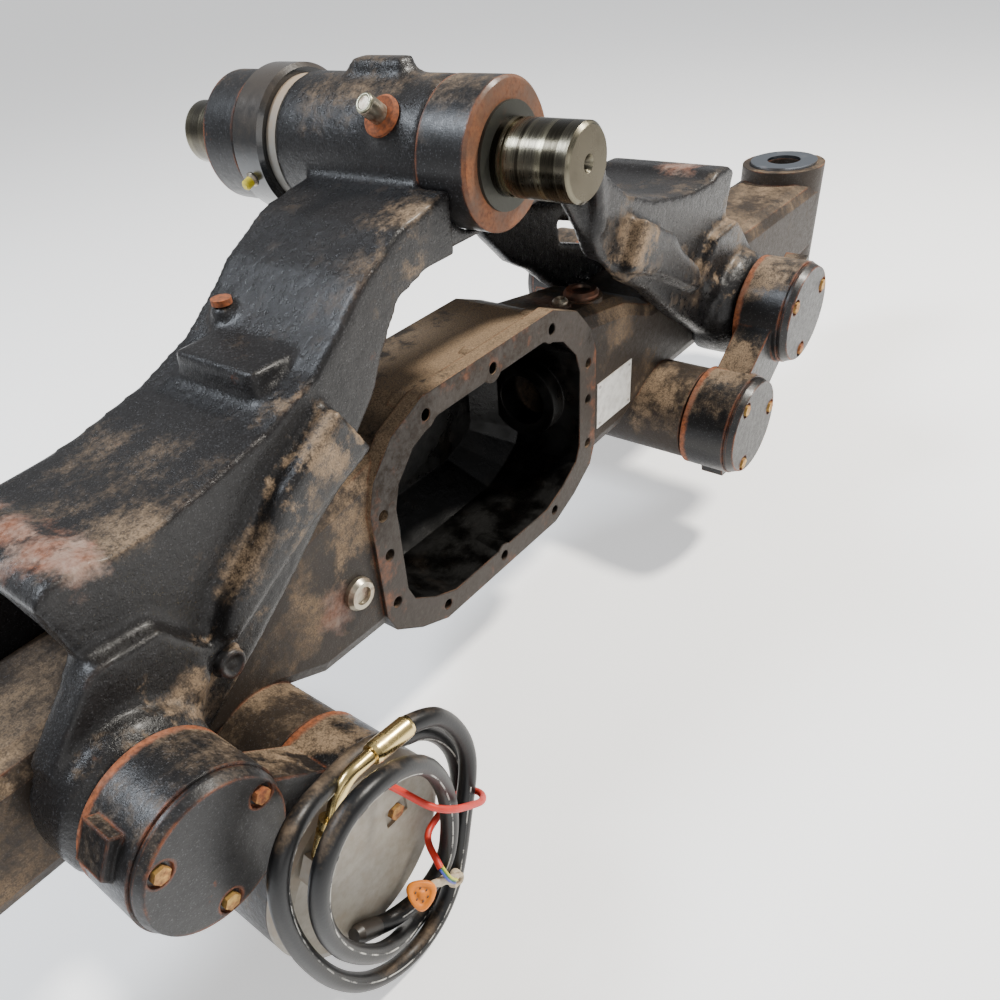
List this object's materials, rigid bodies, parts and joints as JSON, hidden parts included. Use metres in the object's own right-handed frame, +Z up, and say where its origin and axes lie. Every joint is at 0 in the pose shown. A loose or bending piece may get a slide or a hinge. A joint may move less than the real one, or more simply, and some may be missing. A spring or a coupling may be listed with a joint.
{
  "type": "axle beam",
  "caption": "Suspended drive-axle beam: a cast saddle on a trunnion pin carries the open-flanged axle housing on short swinging links",
  "frame": {"origin": "middle of the trunnion pin's front journal, on the pin's axis", "axes": "+X along the beam to its right end, -Y toward the side with the open flange, +Z up"},
  "size_m": [1.8468, 0.5571, 0.6521],
  "materials": {
    "saddle_paint": "rough-cast semi-gloss black paint, dusty",
    "axle_paint": "dusty dark paint on casting",
    "pin_steel": "ground steel with polished stripes",
    "rusty_steel": "bare machined face, rusty",
    "grey_seal": "dull grey",
    "plated_steel": "yellow zinc plate, partly rusted",
    "yellow_plastic": "dull",
    "bush_bronze": "dull bronze",
    "plate_metal": "dull, bare",
    "hose_rubber": "dusty black",
    "cable_red": "dull red jacket",
    "connector_orange": "dull orange",
    "tape_cloth": "dusty tape"
  },
  "bodies": {
    "saddle": {"yoke": "saddle_paint", "trunnion_pin": "pin_steel", "front_collar": "saddle_paint", "front_seal_ring": "rusty_steel", "rear_seal_ring": "grey_seal", "rear_bearing_ring": "saddle_paint", "rear_shim": "rusty_steel", "rear_collar": "saddle_paint", "port_washer": "rusty_steel", "port_fitting": "plated_steel", "grease_nipple": "plated_steel", "nipple_cap": "yellow_plastic", "arm_plug": "plated_steel", "yoke_link_pins": "pin_steel", "yoke_thrust_washers": "rusty_steel"},
    "left_links": {"left_front_link": "saddle_paint", "left_rear_link": "saddle_paint", "left_bushes": "bush_bronze", "left_yoke_cover_front": "saddle_paint", "left_yoke_cover_rear": "saddle_paint", "left_axle_cover_rear": "saddle_paint", "sensor_cover": "saddle_paint", "left_cover_bolts": "plated_steel", "hose_port": "plated_steel", "hose_nut": "plated_steel", "hose_elbow": "plated_steel", "hose_ferrule": "plated_steel", "hose_lead": "hose_rubber", "hose_coil": "hose_rubber", "hose_end": "plated_steel", "cable_gland": "hose_rubber", "sensor_cable": "cable_red", "cable_tie": "tape_cloth", "cable_connector": "connector_orange"},
    "right_links": {"right_front_link": "saddle_paint", "right_rear_link": "saddle_paint", "right_bushes": "bush_bronze", "right_yoke_cover_front": "saddle_paint", "right_yoke_cover_rear": "saddle_paint", "right_axle_cover_front": "saddle_paint", "right_axle_cover_rear": "saddle_paint", "right_cover_bolts": "plated_steel"},
    "axle": {"axle_housing": "axle_paint", "axle_link_pins": "pin_steel", "axle_thrust_washers": "rusty_steel", "kingpin_rings": "rusty_steel", "fill_plug": "rusty_steel", "breather_plug": "plated_steel", "level_plug": "plated_steel", "nameplate": "plate_metal"}
  },
  "joints": [
    {"name": "left_link_swing", "type": "hinge", "parent": "saddle", "child": "left_links", "pos_m": [-0.4951, 0.1425, -0.3069], "axis": [0, -1, 0], "range_deg": [-6, 6]},
    {"name": "right_link_swing", "type": "hinge", "parent": "saddle", "child": "right_links", "pos_m": [0.4951, 0.1425, -0.3069], "axis": [0, -1, 0], "range_deg": [-6.3, 6.3]},
    {"name": "axle_swing", "type": "hinge", "parent": "left_links", "child": "axle", "pos_m": [-0.367, 0.1425, -0.4091], "axis": [0, -1, 0], "range_deg": [-8.5, 8.5]}
  ],
  "couplings": [
    {"joint": "axle_swing", "follows": "left_link_swing", "ratio": -1.3497},
    {"joint": "right_link_swing", "follows": "left_link_swing", "ratio": 1}
  ]
}
